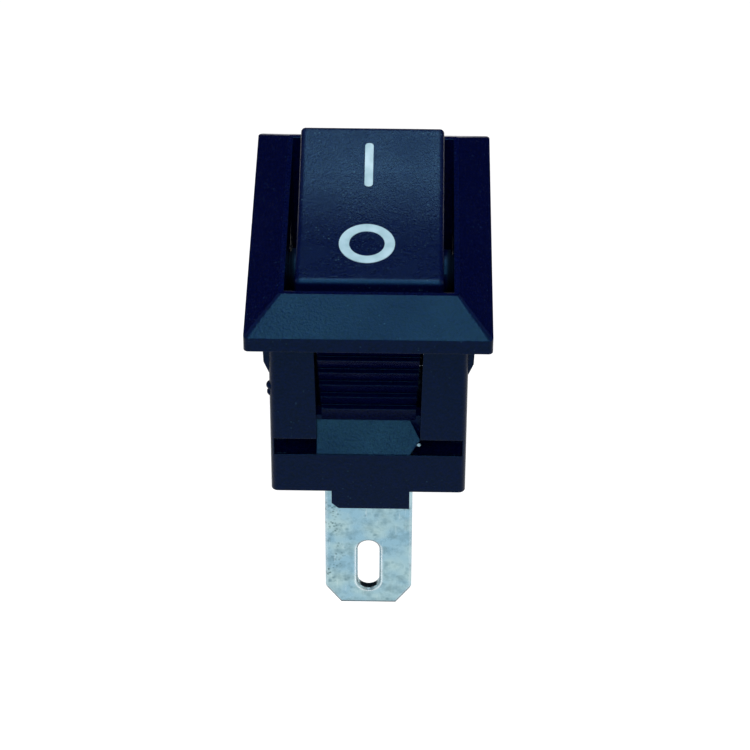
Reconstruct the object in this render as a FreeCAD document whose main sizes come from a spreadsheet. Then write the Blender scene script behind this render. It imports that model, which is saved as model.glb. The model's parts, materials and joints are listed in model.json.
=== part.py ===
import FreeCAD, Part
import math
import os
import Sketcher
from FreeCAD import Placement, Rotation, Vector

# Snap-in panel rocker switch, single pole, on-off, two tabs. Millimetres, +Z out of the panel.
# The origin is the centre of the flange's underside, which lies on the panel.
# X is across the switch, and -Y is the O end, where the load tab is. It is drawn with the O end pressed.

# Driving sizes: name, value, what it is
SIZES = [
    ("bezel_edge", 0.7, "upright edge of the flange"),
    ("bezel_height", 1.8, "panel to the bezel's rim"),
    ("bevel_side_run", 1.44, "bevel of the long sides, seen from above"),
    ("bevel_end_run", 1.66, "bevel of the short ends, seen from above"),
    ("bezel_corner", 0.2, "rounding of the flange's corners"),
    ("rim_corner", 0.12, "rounding of the rim's corners"),
    ("end_gap", 0.096, "end of the well to the rocker at full tilt"),
    ("side_gap", 0.45, "side of the well to the rocker's cap"),
    ("rim_width", 0.21, "flat rim round the well"),
    ("end_wall", 0.97, "short walls behind the panel"),
    ("side_wall", 0.65, "long walls behind the panel"),
    ("body_corner", 0.3, "rounding of the walls' upright corners"),
    ("slot_height", 0.89, "top of the slots beside the sill to the lower edge of the walls"),
    ("floor_thickness", 1.3, "floor of the base"),
    ("fit_gap", 0.02, "gap of pieces that are pushed together"),
    ("slot_step", 0.30, "tongue's root to the top of the slots"),
    ("slot_web", 0.16, "web left at the corner outside each slot"),
    ("tongue_width", 4.44, "ratchet tongue at its free end"),
    ("tongue_taper", 0.19, "each side of the tongue, from the free end to the root"),
    ("tongue_slit", 0.12, "slit on each side of the tongue"),
    ("tongue_thickness", 0.62, "ratchet tongue"),
    ("tongue_reach", 0.35, "free end beyond the wall's face"),
    ("tongue_tip_depth", 0.22, "panel to the free end"),
    ("tongue_tail", 0.76, "last ledge to the root, where the sill starts"),
    ("tooth_count", 5, "ratchet teeth"),
    ("tooth_pitch", 0.848, "one ledge to the next, downwards"),
    ("tooth_step", 0.3, "ledge of one tooth"),
    ("sill_step", 0.22, "sill beyond the tongue's root, each side"),
    ("sill_nick", 0.45, "corner missing from the sill's right side, across"),
    ("sill_nick_height", 0.67, "corner missing from the sill's right side, down"),
    ("root_beam", 0.55, "height of the beams that tie the root to the walls"),
    ("rib_reach", 0.28, "locating rib beyond the long wall"),
    ("rib_depth", 2.1, "locating rib down from the panel"),
    ("rib_belly_reach", 0.23, "rib beyond the long wall where it turns in"),
    ("rib_belly_depth", 1.5, "panel to where the rib turns in"),
    ("rib_length", 1.4, "locating rib along Y"),
    ("rib_inset", 0.3, "locating rib back from the end wall"),
    ("pivot_depth", 1.4, "panel to the rocker's axis"),
    ("pin_diameter", 1.6, "rocker's pins"),
    ("pin_clearance", 0.05, "radial, pins in the walls"),
    ("boss_diameter", 2.0, "rocker's bosses round the pins"),
    ("pin_recess", 0.15, "pin's end inside the wall's face"),
    ("cheek_clearance", 0.1, "rocker's bosses to the walls"),
    ("rocker_width", 6.3, "cap along X"),
    ("rocker_length", 9.2, "cap between its two top edges"),
    ("rocker_rise", 4.4, "axis to the line between the top edges"),
    ("rocker_tilt", 10.5, "degrees from level to either end position"),
    ("face_angle", 5.25, "degrees between each half of the top and that line"),
    ("crease_radius", 22.0, "hollow round between the halves of the top"),
    ("shoulder_out", 0.05, "end face, how far the shoulder stands out"),
    ("shoulder_drop", 0.49, "end face, shoulder below the top edge"),
    ("skirt_out", 0.85, "end face, how far its foot stands out"),
    ("skirt_drop", 3.44, "end face, its foot below the top edge"),
    ("cheek_half", 1.4, "half length of the cheeks' lower ends"),
    ("cheek_drop", 1.3, "axis to the cheeks' lower ends"),
    ("rocker_wall", 0.8, "side walls of the cap"),
    ("rocker_end_wall", 1.0, "end walls of the cap at the foot"),
    ("rocker_roof", 1.45, "line between the top edges to the hollow"),
    ("rocker_edge", 0.2, "rounding of the cap's top edges"),
    ("post_diameter", 2.6, "post under the cap"),
    ("post_drop", 1.8, "axis to the post's lower end"),
    ("bore_top", 1.8, "axis to the blind end of the post's bore"),
    ("plunger_diameter", 1.4, "plunger"),
    ("plunger_clearance", 0.05, "radial, plunger in the bore"),
    ("plunger_top", -0.1, "axis to the plunger's upper shoulder"),
    ("plunger_gap", 0.15, "plunger to the arm at rest, room for mid-travel"),
    ("spigot_diameter", 0.7, "plunger's spigot inside the spring"),
    ("spigot_length", 0.6, "plunger's spigot"),
    ("spring_wire", 0.2, "spring's wire"),
    ("spring_turns", 5, "spring's turns"),
    ("turn_spans", 12, "straight spans in one turn of the spring"),
    ("spring_clearance", 0.06, "radial, spring in the bore"),
    ("axis_drop", 4.35, "rocker's axis to the arm's axis, the top edge of the common terminal"),
    ("arm_tilt", 7.0, "degrees from level to either end position"),
    ("arm_width", 3.0, "contact arm along X"),
    ("arm_thickness", 0.35, "contact arm"),
    ("arm_web_rise", 0.35, "axis to the underside of the arm's web"),
    ("arm_corner", 0.9, "cut corners of the arm's contact end"),
    ("arm_back", 2.6, "axis to the arm's other end"),
    ("flange_half", 1.6, "half length of the arm's side flanges"),
    ("flange_foot", 1.04, "half length of the side flanges at their lower edge"),
    ("flange_drop", 0.28, "axis to the lower edge of the side flanges"),
    ("notch_clearance", 0.06, "side flange's notch beside the terminal's edge"),
    ("notch_top", 0.042, "side flange's notch above the terminal's edge"),
    ("contact_inset", 1.1, "load tab's middle plane to the contacts"),
    ("contact_diameter", 1.8, "heads of the contacts"),
    ("contact_head", 0.35, "height of the moving contact's head"),
    ("contact_face", 1.0, "flat of the moving contact"),
    ("contact_bevel_rise", 0.175, "flat of the moving contact to its full width"),
    ("contact_crown_rise", 0.14, "moving contact's riveted end above the arm"),
    ("contact_shank", 0.9, "shanks of the contacts"),
    ("contact_gap", 0.08, "contacts when closed"),
    ("fixed_head", 0.335, "height of the fixed contact's head"),
    ("lip_drop", 0.75, "slope behind the upper edge of the base's end walls"),
    ("rim_thickness", 0.58, "base's side rims"),
    ("rim_half", 4.4, "half length of the base's side rims"),
    ("rim_height", 1.24, "walls' lower edge up to the top of the side rims"),
    ("catch_reach", 0.4, "base's catches beyond the rims"),
    ("catch_half", 1.3, "half length of the catches"),
    ("catch_rise", 1.09, "walls' lower edge up to the top of the catches"),
    ("catch_height", 0.7, "catches, top to bottom"),
    ("catch_gap", 0.08, "catches in their windows"),
    ("block_width", 3.42, "guide blocks under the base"),
    ("block_shift", 0.1, "load tab's block off centre, towards +X"),
    ("block_drop", 1.0, "guide blocks below the base"),
    ("block_wall", 0.62, "guide block behind each tab"),
    ("block_corner", 0.3, "cut corner of the load tab's block"),
    ("tab_width", 3.9, "tabs"),
    ("tab_thickness", 0.5, "tabs, coined"),
    ("strip_thickness", 0.56, "terminals' strip inside the base"),
    ("tab_inset", 0.63, "end of the well to the load tab's middle plane"),
    ("tab_length", 7.86, "base to the tabs' tips"),
    ("tab_edge", 0.1, "coined edge of the tabs"),
    ("tip_run", 0.72, "cut corner of the tip, across"),
    ("tip_rise", 1.0, "cut corner of the tip, up"),
    ("eye_width", 0.98, "slot in each tab"),
    ("eye_length", 2.87, "slot in each tab"),
    ("eye_margin", 0.79, "tip to the slot"),
    ("eye_rim", 0.1, "coined rim of the slot"),
    ("bend_radius", 0.3, "inside of the load terminal's bend"),
    ("foot_length", 2.35, "load terminal's foot"),
    ("shoulder_width", 4.6, "common terminal above the floor"),
    ("neck_width", 4.0, "common terminal at its top edge"),
    ("neck_length", 0.7, "common terminal from its top edge down to the shoulder"),
]

# Sizes worked out from the driving ones
DERIVED = [
    ("rocker_half_x", "=rocker_width / 2"),
    ("rocker_half_y", "=rocker_length / 2"),
    ("crease_z", "=rocker_rise - rocker_half_y * tan(face_angle)"),
    ("shoulder_y", "=rocker_half_y + shoulder_out"),
    ("shoulder_z", "=rocker_rise - shoulder_drop"),
    ("skirt_y", "=rocker_half_y + skirt_out"),
    ("skirt_z", "=rocker_rise - skirt_drop"),
    ("shoulder_swing", "=shoulder_y * cos(rocker_tilt) + shoulder_z * sin(rocker_tilt)"),
    ("skirt_swing", "=skirt_y * cos(rocker_tilt) + skirt_z * sin(rocker_tilt)"),
    ("opening_half_y", "=max(shoulder_swing; skirt_swing) + end_gap"),
    ("opening_half_x", "=rocker_half_x + side_gap"),
    ("rim_half_y", "=opening_half_y + rim_width"),
    ("rim_half_x", "=opening_half_x + rim_width"),
    ("bezel_half_y", "=rim_half_y + bevel_end_run"),
    ("bezel_half_x", "=rim_half_x + bevel_side_run"),
    ("body_half_y", "=opening_half_y + end_wall"),
    ("body_half_x", "=opening_half_x + side_wall"),
    ("window_depth", "=tongue_tip_depth - tongue_slit"),
    ("window_half", "=tongue_width / 2 + tongue_slit"),
    ("tongue_root_depth", "=tongue_tip_depth + tooth_count * tooth_pitch + tongue_tail"),
    ("tongue_half", "=tongue_width / 2"),
    ("tongue_root_half", "=tongue_half - tongue_taper"),
    ("tongue_tip_y", "=body_half_y + tongue_reach"),
    ("tongue_root_y", "=opening_half_y"),
    ("tongue_back_tip_y", "=tongue_tip_y - tongue_thickness"),
    ("tongue_back_y", "=tongue_root_y - tongue_thickness"),
    ("tooth_lean", "=tooth_pitch * (tongue_tip_y - tongue_root_y) / (tongue_root_depth - tongue_tip_depth)"),
    ("slot_depth", "=tongue_root_depth + slot_step"),
    ("slot_half", "=body_half_x - slot_web"),
    ("beam_top", "=slot_depth - root_beam"),
    ("wall_depth", "=slot_depth + slot_height"),
    ("sill_half", "=tongue_root_half + sill_step"),
    ("sill_depth", "=wall_depth - fit_gap"),
    ("sill_nick_x", "=sill_half - sill_nick"),
    ("sill_nick_depth", "=tongue_root_depth + sill_nick_height"),
    ("rib_half_x", "=body_half_x + rib_reach"),
    ("rib_belly_x", "=body_half_x + rib_belly_reach"),
    ("rib_start", "=body_half_y - rib_inset"),
    ("hole_diameter", "=pin_diameter + 2 * pin_clearance"),
    ("pin_half", "=body_half_x - pin_recess"),
    ("boss_half", "=opening_half_x - cheek_clearance"),
    ("hollow_half_x", "=rocker_half_x - rocker_wall"),
    ("hollow_half_y", "=skirt_y - rocker_end_wall"),
    ("hollow_top", "=rocker_rise - rocker_roof"),
    ("bore_diameter", "=plunger_diameter + 2 * plunger_clearance"),
    ("arm_axis_depth", "=pivot_depth + axis_drop"),
    ("arm_top", "=arm_web_rise + arm_thickness"),
    ("plunger_nose", "=plunger_diameter / 2"),
    ("plunger_reach", "=(axis_drop * cos(arm_tilt) - arm_top - plunger_nose - plunger_gap)"
                      " / cos(rocker_tilt + arm_tilt)"),
    ("spigot_top", "=plunger_top + spigot_length"),
    ("spigot_half", "=spigot_diameter / 2"),
    ("coil_radius", "=bore_diameter / 2 - spring_clearance - spring_wire / 2"),
    ("strip_half", "=strip_thickness / 2"),
    ("tab_half_t", "=tab_thickness / 2"),
    ("tab_half", "=tab_width / 2"),
    ("tab_plane", "=opening_half_y - tab_inset"),
    ("strip_front_y", "=tab_plane + strip_half"),
    ("strip_back_y", "=tab_plane - strip_half"),
    ("tab_front_y", "=tab_plane + tab_half_t"),
    ("tab_back_y", "=tab_plane - tab_half_t"),
    ("contact_reach", "=tab_plane - contact_inset"),
    ("contact_radius", "=contact_diameter / 2"),
    ("contact_face_radius", "=contact_face / 2"),
    ("contact_shank_radius", "=contact_shank / 2"),
    ("contact_low", "=arm_web_rise - contact_head"),
    ("contact_crown", "=arm_top + contact_crown_rise"),
    ("contact_bevel", "=contact_low + contact_bevel_rise"),
    ("fixed_top_depth", "=arm_axis_depth + contact_reach * sin(arm_tilt) - contact_low * cos(arm_tilt)"
                        " + contact_gap"),
    ("foot_depth", "=fixed_top_depth + fixed_head"),
    ("floor_depth", "=foot_depth + strip_thickness"),
    ("body_depth", "=floor_depth + floor_thickness"),
    ("tab_depth", "=body_depth + tab_length"),
    ("arm_front", "=contact_reach + contact_radius"),
    ("arm_half", "=arm_width / 2"),
    ("flange_inside", "=arm_half - arm_thickness"),
    ("notch_half", "=strip_half + notch_clearance"),
    ("arm_front_in", "=arm_front - arm_corner"),
    ("arm_half_in", "=arm_half - arm_corner"),
    ("foot_y", "=strip_front_y - foot_length"),
    ("block_depth", "=body_depth + block_drop"),
    ("tab_start", "=block_depth + 2 * fit_gap"),
    ("block_half", "=block_width / 2"),
    ("block_left", "=block_half - block_shift"),
    ("block_right", "=block_half + block_shift"),
    ("block_cut_x", "=block_left - block_corner"),
    ("block_cut_depth", "=block_depth - block_corner"),
    ("load_block_back", "=strip_back_y - block_wall"),
    ("mid_block_half", "=strip_half + block_wall"),
    ("passage_half_x", "=tab_half + fit_gap"),
    ("passage_front_y", "=strip_front_y + fit_gap"),
    ("passage_back_y", "=strip_back_y - fit_gap"),
    ("passage_half_y", "=strip_half + fit_gap"),
    ("rim_out_x", "=opening_half_x - fit_gap"),
    ("rim_in_x", "=rim_out_x - rim_thickness"),
    ("rim_depth", "=wall_depth - rim_height"),
    ("catch_x", "=rim_out_x + catch_reach"),
    ("catch_top", "=wall_depth - catch_rise"),
    ("catch_bottom", "=catch_top + catch_height"),
    ("catch_hole_half", "=catch_half + catch_gap"),
    ("catch_hole_top", "=catch_top - catch_gap"),
    ("catch_hole_bottom", "=catch_bottom + catch_gap"),
    ("lip_depth", "=wall_depth + lip_drop"),
    ("shoulder_half", "=shoulder_width / 2"),
    ("neck_half", "=neck_width / 2"),
    ("neck_start", "=arm_axis_depth + neck_length"),
    ("tip_x", "=tab_half - tip_run"),
    ("tip_start", "=tab_depth - tip_rise"),
    ("eye_half", "=eye_width / 2"),
    ("eye_low", "=tab_depth - eye_margin - eye_half"),
    ("eye_high", "=eye_low - eye_length + eye_width"),
]

PLANES = {"XY": "XY_Plane", "XZ": "XZ_Plane", "YZ": "YZ_Plane"}
EPSILON = 1e-4

doc = FreeCAD.newDocument("panel_rocker_switch")
sheet = doc.addObject("Spreadsheet::Sheet", "Sizes")
nodes = []


# The sheet and the sizes in it
def fill_sheet():
    row = 1
    for name, value, note in SIZES:
        sheet.set("A%d" % row, name)
        sheet.set("B%d" % row, str(value))
        sheet.set("C%d" % row, note)
        sheet.setAlias("B%d" % row, name)
        row += 1
    for name, formula in DERIVED:
        sheet.set("A%d" % row, name)
        sheet.set("B%d" % row, formula)
        sheet.setAlias("B%d" % row, name)
        row += 1
    doc.recompute()


def size(name):
    return float(getattr(sheet, name))


# A coordinate: its number now, and the expression that keeps it tied to the sheet
def at(name, count=0, step=None):
    sign = -1 if name.startswith("-") else 1
    name = name.lstrip("-")
    if name == "zero":
        return 0.0, "0"
    number = sign * size(name)
    expression = ("-" if sign < 0 else "") + "Sizes." + name
    if step is not None:
        number += count * size(step)
        expression += " + %d * Sizes.%s" % (count, step)
    return number, expression


# Bodies, sketches and features
def new_body(label):
    body = doc.addObject("PartDesign::Body", label)
    body.Label = label
    return body


def origin_item(body, role):
    return [item for item in body.Origin.OriginFeatures if item.Role == role][0]


def new_sketch(body, plane, offset=None):
    sketch = body.newObject("Sketcher::SketchObject", body.Name + "_sketch")
    sketch.AttachmentSupport = [(origin_item(body, PLANES[plane]), "")]
    sketch.MapMode = "FlatFace"
    if offset is not None:
        sketch.setExpression("AttachmentOffset.Base.z", at(offset)[1])
    return sketch


def outline(sketch, points):
    points = [[at(c) if isinstance(c, str) else c for c in point] for point in points]
    places = [Vector(x[0], y[0], 0) for x, y in points]
    first = sketch.GeometryCount
    count = len(places)
    for i in range(count):
        sketch.addGeometry(Part.LineSegment(places[i], places[(i + 1) % count]))
    for i in range(count):
        line = first + i
        follower = first + (i + 1) % count
        sketch.addConstraint(Sketcher.Constraint("Coincident", line, 2, follower, 1))
        for kind, coordinate in zip(("DistanceX", "DistanceY"), points[i]):
            rule = Sketcher.Constraint(kind, -1, 1, line, 1, coordinate[0])
            number = sketch.addConstraint(rule)
            sketch.setExpression("Constraints[%d]" % number, coordinate[1])


def rectangle(sketch, x_low, x_high, y_low, y_high):
    outline(sketch, [(x_low, y_low), (x_high, y_low), (x_high, y_high), (x_low, y_high)])


def centred(sketch, half_x, half_y):
    rectangle(sketch, "-" + half_x, half_x, "-" + half_y, half_y)


def circle(sketch, x, y, diameter):
    x, y, wide = at(x), at(y), at(diameter)
    item = sketch.addGeometry(Part.Circle(Vector(x[0], y[0], 0), Vector(0, 0, 1), wide[0] / 2))
    for kind, coordinate in (("DistanceX", x), ("DistanceY", y)):
        number = sketch.addConstraint(Sketcher.Constraint(kind, -1, 1, item, 3, coordinate[0]))
        sketch.setExpression("Constraints[%d]" % number, coordinate[1])
    number = sketch.addConstraint(Sketcher.Constraint("Diameter", item, wide[0]))
    sketch.setExpression("Constraints[%d]" % number, wide[1])


def rounded_rectangle(sketch, half_x, half_y, radius):
    x, y, r = at(half_x), at(half_y), at(radius)
    inner_x, inner_y = x[0] - r[0], y[0] - r[0]
    corners = [(inner_x, -inner_y, 1.5), (inner_x, inner_y, 0),
               (-inner_x, inner_y, 0.5), (-inner_x, -inner_y, 1)]
    starts = [(-inner_x, -y[0]), (x[0], -inner_y), (inner_x, y[0]), (-x[0], inner_y)]
    finishes = [(inner_x, -y[0]), (x[0], inner_y), (-inner_x, y[0]), (-x[0], -inner_y)]
    for start, finish, (cx, cy, turn_at) in zip(starts, finishes, corners):
        sketch.addGeometry(Part.LineSegment(Vector(*start, 0), Vector(*finish, 0)))
        whole = Part.Circle(Vector(cx, cy, 0), Vector(0, 0, 1), r[0])
        sketch.addGeometry(Part.ArcOfCircle(whole, turn_at * math.pi, (turn_at + 0.5) * math.pi))
    for i in range(0, 8, 2):
        sketch.addConstraint(Sketcher.Constraint("Tangent", i, 2, i + 1, 1))
        sketch.addConstraint(Sketcher.Constraint("Tangent", i + 1, 2, (i + 2) % 8, 1))
        sketch.addConstraint(Sketcher.Constraint("Horizontal" if i % 4 == 0 else "Vertical", i))
    for i in (3, 5, 7):
        sketch.addConstraint(Sketcher.Constraint("Equal", 1, i))
    number = sketch.addConstraint(Sketcher.Constraint("Radius", 1, r[0]))
    sketch.setExpression("Constraints[%d]" % number, r[1])
    for kind, line, sign, coordinate in (("DistanceY", 0, -1, y), ("DistanceX", 2, 1, x),
                                         ("DistanceY", 4, 1, y), ("DistanceX", 6, -1, x)):
        number = sketch.addConstraint(Sketcher.Constraint(kind, -1, 1, line, 1, sign * coordinate[0]))
        sketch.setExpression("Constraints[%d]" % number, ("-" if sign < 0 else "") + coordinate[1])


def upright_slot(sketch, half_width, low, high):
    r, low, high = at(half_width), at(low), at(high)
    upper = Part.Circle(Vector(0, high[0], 0), Vector(0, 0, 1), r[0])
    lower = Part.Circle(Vector(0, low[0], 0), Vector(0, 0, 1), r[0])
    sketch.addGeometry(Part.LineSegment(Vector(r[0], low[0], 0), Vector(r[0], high[0], 0)))
    sketch.addGeometry(Part.ArcOfCircle(upper, 0, math.pi))
    sketch.addGeometry(Part.LineSegment(Vector(-r[0], high[0], 0), Vector(-r[0], low[0], 0)))
    sketch.addGeometry(Part.ArcOfCircle(lower, math.pi, 2 * math.pi))
    for i in range(4):
        sketch.addConstraint(Sketcher.Constraint("Tangent", i, 2, (i + 1) % 4, 1))
    sketch.addConstraint(Sketcher.Constraint("Vertical", 0))
    sketch.addConstraint(Sketcher.Constraint("PointOnObject", 1, 3, -2))
    number = sketch.addConstraint(Sketcher.Constraint("Radius", 1, r[0]))
    sketch.setExpression("Constraints[%d]" % number, r[1])
    for arc, coordinate in ((1, high), (3, low)):
        number = sketch.addConstraint(Sketcher.Constraint("DistanceY", -1, 1, arc, 3, coordinate[0]))
        sketch.setExpression("Constraints[%d]" % number, coordinate[1])


# A quarter of a disc whose corner lies on the upright axis, below which it hangs
def quarter_disc(sketch, height, radius):
    z, r = at(height), at(radius)
    middle, side, low = Vector(0, z[0], 0), Vector(r[0], z[0], 0), Vector(0, z[0] - r[0], 0)
    whole = Part.Circle(middle, Vector(0, 0, 1), r[0])
    sketch.addGeometry(Part.ArcOfCircle(whole, 1.5 * math.pi, 2 * math.pi))
    sketch.addGeometry(Part.LineSegment(side, middle))
    sketch.addGeometry(Part.LineSegment(middle, low))
    sketch.addConstraint(Sketcher.Constraint("Coincident", 0, 2, 1, 1))
    sketch.addConstraint(Sketcher.Constraint("Coincident", 1, 2, 2, 1))
    sketch.addConstraint(Sketcher.Constraint("Coincident", 2, 2, 0, 1))
    sketch.addConstraint(Sketcher.Constraint("Coincident", 0, 3, 1, 2))
    sketch.addConstraint(Sketcher.Constraint("PointOnObject", 0, 3, -2))
    sketch.addConstraint(Sketcher.Constraint("Horizontal", 1))
    sketch.addConstraint(Sketcher.Constraint("Vertical", 2))
    number = sketch.addConstraint(Sketcher.Constraint("Radius", 0, r[0]))
    sketch.setExpression("Constraints[%d]" % number, r[1])
    number = sketch.addConstraint(Sketcher.Constraint("DistanceY", -1, 1, 0, 3, z[0]))
    sketch.setExpression("Constraints[%d]" % number, z[1])


def pad(body, sketch, length, both=False, back=False):
    feature = body.newObject("PartDesign::Pad", body.Name + "_pad")
    feature.Profile = sketch
    feature.setExpression("Length", length)
    feature.Midplane = both
    feature.Reversed = back
    doc.recompute()
    return feature


def pocket(body, sketch, length=None, both=False, back=False):
    before = body.Shape.Volume
    feature = body.newObject("PartDesign::Pocket", body.Name + "_pocket")
    feature.Profile = sketch
    feature.Midplane = both
    feature.Reversed = back
    if length is None:
        feature.Type = "ThroughAll"
    else:
        feature.setExpression("Length", length)
    doc.recompute()
    if body.Shape.Volume > before - EPSILON:
        raise RuntimeError(feature.Name + " cuts nothing")
    return feature


def mirrored(body, feature, plane):
    copy = body.newObject("PartDesign::Mirrored", body.Name + "_mirrored")
    copy.Originals = [feature]
    copy.MirrorPlane = (origin_item(body, PLANES[plane]), [""])
    body.Tip = copy
    doc.recompute()
    return copy


def edges_where(body, test):
    return ["Edge%d" % (i + 1) for i, edge in enumerate(body.Shape.Edges) if test(edge)]


def rounded(body, test, radius):
    previous = body.Tip
    names = edges_where(body, test)
    feature = body.newObject("PartDesign::Fillet", body.Name + "_fillet")
    feature.Base = (previous, names)
    feature.setExpression("Radius", "Sizes." + radius)
    doc.recompute()
    return feature


def chamfered(body, test, width):
    previous = body.Tip
    names = edges_where(body, test)
    feature = body.newObject("PartDesign::Chamfer", body.Name + "_chamfer")
    feature.Base = (previous, names)
    feature.setExpression("Size", "Sizes." + width)
    doc.recompute()
    return feature


def ends(edge):
    return edge.Vertexes[0].Point, edge.Vertexes[-1].Point


def runs_along(edge, axis):
    a, b = ends(edge)
    return edge.Length > EPSILON and abs(abs((b - a).dot(axis)) - edge.Length) < EPSILON


def keep(item, label):
    item.Label = label
    nodes.append(item)


# Housing: bezel, walls, windows and ribs of the one moulding
def shell_body():
    body = new_body("shell")
    flange = new_sketch(body, "XY")
    rounded_rectangle(flange, "bezel_half_x", "bezel_half_y", "bezel_corner")
    pad(body, flange, "Sizes.bezel_edge")
    low = new_sketch(body, "XY", "bezel_edge")
    rounded_rectangle(low, "bezel_half_x", "bezel_half_y", "bezel_corner")
    high = new_sketch(body, "XY", "bezel_height")
    rounded_rectangle(high, "rim_half_x", "rim_half_y", "rim_corner")
    bevel = body.newObject("PartDesign::AdditiveLoft", "bevel")
    bevel.Profile = low
    bevel.Sections = [high]
    bevel.Ruled = True
    doc.recompute()
    walls = new_sketch(body, "XY")
    rounded_rectangle(walls, "body_half_x", "body_half_y", "body_corner")
    pad(body, walls, "Sizes.wall_depth", back=True)
    cut_well(body)
    cut_windows(body)
    add_ribs(body)
    return body


def cut_well(body):
    well = new_sketch(body, "XY")
    centred(well, "opening_half_x", "opening_half_y")
    pocket(body, well, both=True)
    holes = new_sketch(body, "YZ")
    circle(holes, "zero", "-pivot_depth", "hole_diameter")
    pocket(body, holes, both=True)
    catches = new_sketch(body, "YZ")
    rectangle(catches, "-catch_hole_half", "catch_hole_half", "-catch_hole_bottom", "-catch_hole_top")
    pocket(body, catches, both=True)


def cut_windows(body):
    window = new_sketch(body, "XZ")
    right = [("window_half", "-window_depth"), ("sill_half", "-beam_top"), ("sill_half", "-body_depth")]
    left = [("-" + x, z) for x, z in reversed(right)]
    outline(window, right + left)
    pocket(body, window, both=True)
    slots = new_sketch(body, "XZ", "body_half_y")
    rectangle(slots, "sill_half", "slot_half", "-body_depth", "-slot_depth")
    rectangle(slots, "-slot_half", "-sill_half", "-body_depth", "-slot_depth")
    notches = pocket(body, slots, "Sizes.end_wall")
    mirrored(body, notches, "XZ")


def add_ribs(body):
    ribs = new_sketch(body, "XZ", "rib_start")
    right = [("opening_half_x", "zero"), ("rib_half_x", "zero"), ("rib_belly_x", "-rib_belly_depth"),
             ("body_half_x", "-rib_depth"), ("opening_half_x", "-rib_depth")]
    outline(ribs, right)
    outline(ribs, [("-" + x if x != "zero" else x, z) for x, z in reversed(right)])
    front = pad(body, ribs, "Sizes.rib_length", back=True)
    mirrored(body, front, "XZ")


# Ratchet tongue with its teeth, and the sill and beams that carry its root
def tongue_body():
    body = new_body("tongue")
    profile = new_sketch(body, "YZ")
    outline(profile, tooth_points())
    pad(body, profile, "Sizes.tongue_width", both=True)
    sides = new_sketch(body, "XZ")
    for sign in ("", "-"):
        flip = "-" if sign == "" else ""
        points = [(sign + "tongue_half", "zero"), (sign + "tongue_root_half", "-tongue_root_depth"),
                  (sign + "tongue_root_half", "-body_depth"), (sign + "body_half_x", "-body_depth"),
                  (sign + "body_half_x", "zero")]
        outline(sides, points if flip == "-" else list(reversed(points)))
    pocket(body, sides, both=True)
    add_sill(body)
    return body


def tooth_points():
    count = int(size("tooth_count"))
    points = [("-tongue_tip_y", "-tongue_tip_depth")]
    for i in range(1, count + 1):
        y = at("-tongue_tip_y", i, "tooth_lean")
        z = at("-tongue_tip_depth", -i, "tooth_pitch")
        inner = (y[0] + size("tooth_step"), y[1] + " + Sizes.tooth_step")
        points.append((inner, z))
        points.append((y, z))
    points.append(("-tongue_root_y", "-tongue_root_depth"))
    points.append(("-tongue_back_y", "-tongue_root_depth"))
    points.append(("-tongue_back_tip_y", "-tongue_tip_depth"))
    return points


def add_sill(body):
    profile = new_sketch(body, "YZ")
    outline(profile, [("-tongue_root_y", "-tongue_root_depth"), ("-body_half_y", "-sill_depth"),
                      ("-tongue_back_y", "-sill_depth"), ("-tongue_back_y", "-beam_top"),
                      ("-tongue_root_y", "-beam_top")])
    pad(body, profile, "2 * Sizes.sill_half", both=True)
    nick = new_sketch(body, "XZ", "tongue_root_y")
    outline(nick, [("sill_nick_x", "-tongue_root_depth"), ("sill_half", "-sill_nick_depth"),
                   ("sill_nick_x", "-sill_depth"), ("sill_nick_x", "-body_depth"),
                   ("body_half_x", "-body_depth"),
                   ("body_half_x", "-tongue_root_depth")])
    pocket(body, nick, "Sizes.end_wall", back=True)
    beams = new_sketch(body, "YZ")
    rectangle(beams, "-tongue_root_y", "-tongue_back_y", "-slot_depth", "-beam_top")
    pad(body, beams, "2 * Sizes.opening_half_x", both=True)


def housing():
    shell = shell_body()
    tongue = tongue_body()
    other = doc.addObject("Part::Mirroring", "tongue_at_i_end")
    other.Source = tongue
    other.Normal = Vector(0, 1, 0)
    moulding = doc.addObject("Part::MultiFuse", "moulding")
    moulding.Shapes = [shell, tongue, other]
    moulding.Refine = True
    doc.recompute()
    keep(moulding, "housing")


# Base: band, floor, side rims with catches, and guide blocks round the tabs
def base():
    body = new_body("base_moulding")
    band = new_sketch(body, "XY", "-body_depth")
    rounded_rectangle(band, "body_half_x", "body_half_y", "body_corner")
    pad(body, band, "Sizes.body_depth - Sizes.wall_depth")
    hollow = new_sketch(body, "XY", "-floor_depth")
    centred(hollow, "opening_half_x", "opening_half_y")
    pocket(body, hollow, "Sizes.body_depth", back=True)
    lip = new_sketch(body, "YZ")
    outline(lip, [("-body_half_y", "-wall_depth"), ("-opening_half_y", "-lip_depth"),
                  ("-opening_half_y", "-slot_depth"), ("-body_half_y", "-slot_depth")])
    bevel = pocket(body, lip, "2 * Sizes.slot_half", both=True)
    mirrored(body, bevel, "XZ")
    rims = new_sketch(body, "XY", "-body_depth")
    rectangle(rims, "rim_in_x", "rim_out_x", "-rim_half", "rim_half")
    rectangle(rims, "-rim_out_x", "-rim_in_x", "-rim_half", "rim_half")
    pad(body, rims, "Sizes.body_depth - Sizes.rim_depth")
    catches = new_sketch(body, "XZ")
    right = [("rim_in_x", "-catch_bottom"), ("catch_x", "-catch_bottom"), ("rim_out_x", "-catch_top"),
             ("rim_in_x", "-catch_top")]
    outline(catches, right)
    outline(catches, [("-" + x, z) for x, z in reversed(right)])
    pad(body, catches, "2 * Sizes.catch_half", both=True)
    add_blocks(body)
    keep(body, "base")


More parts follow.
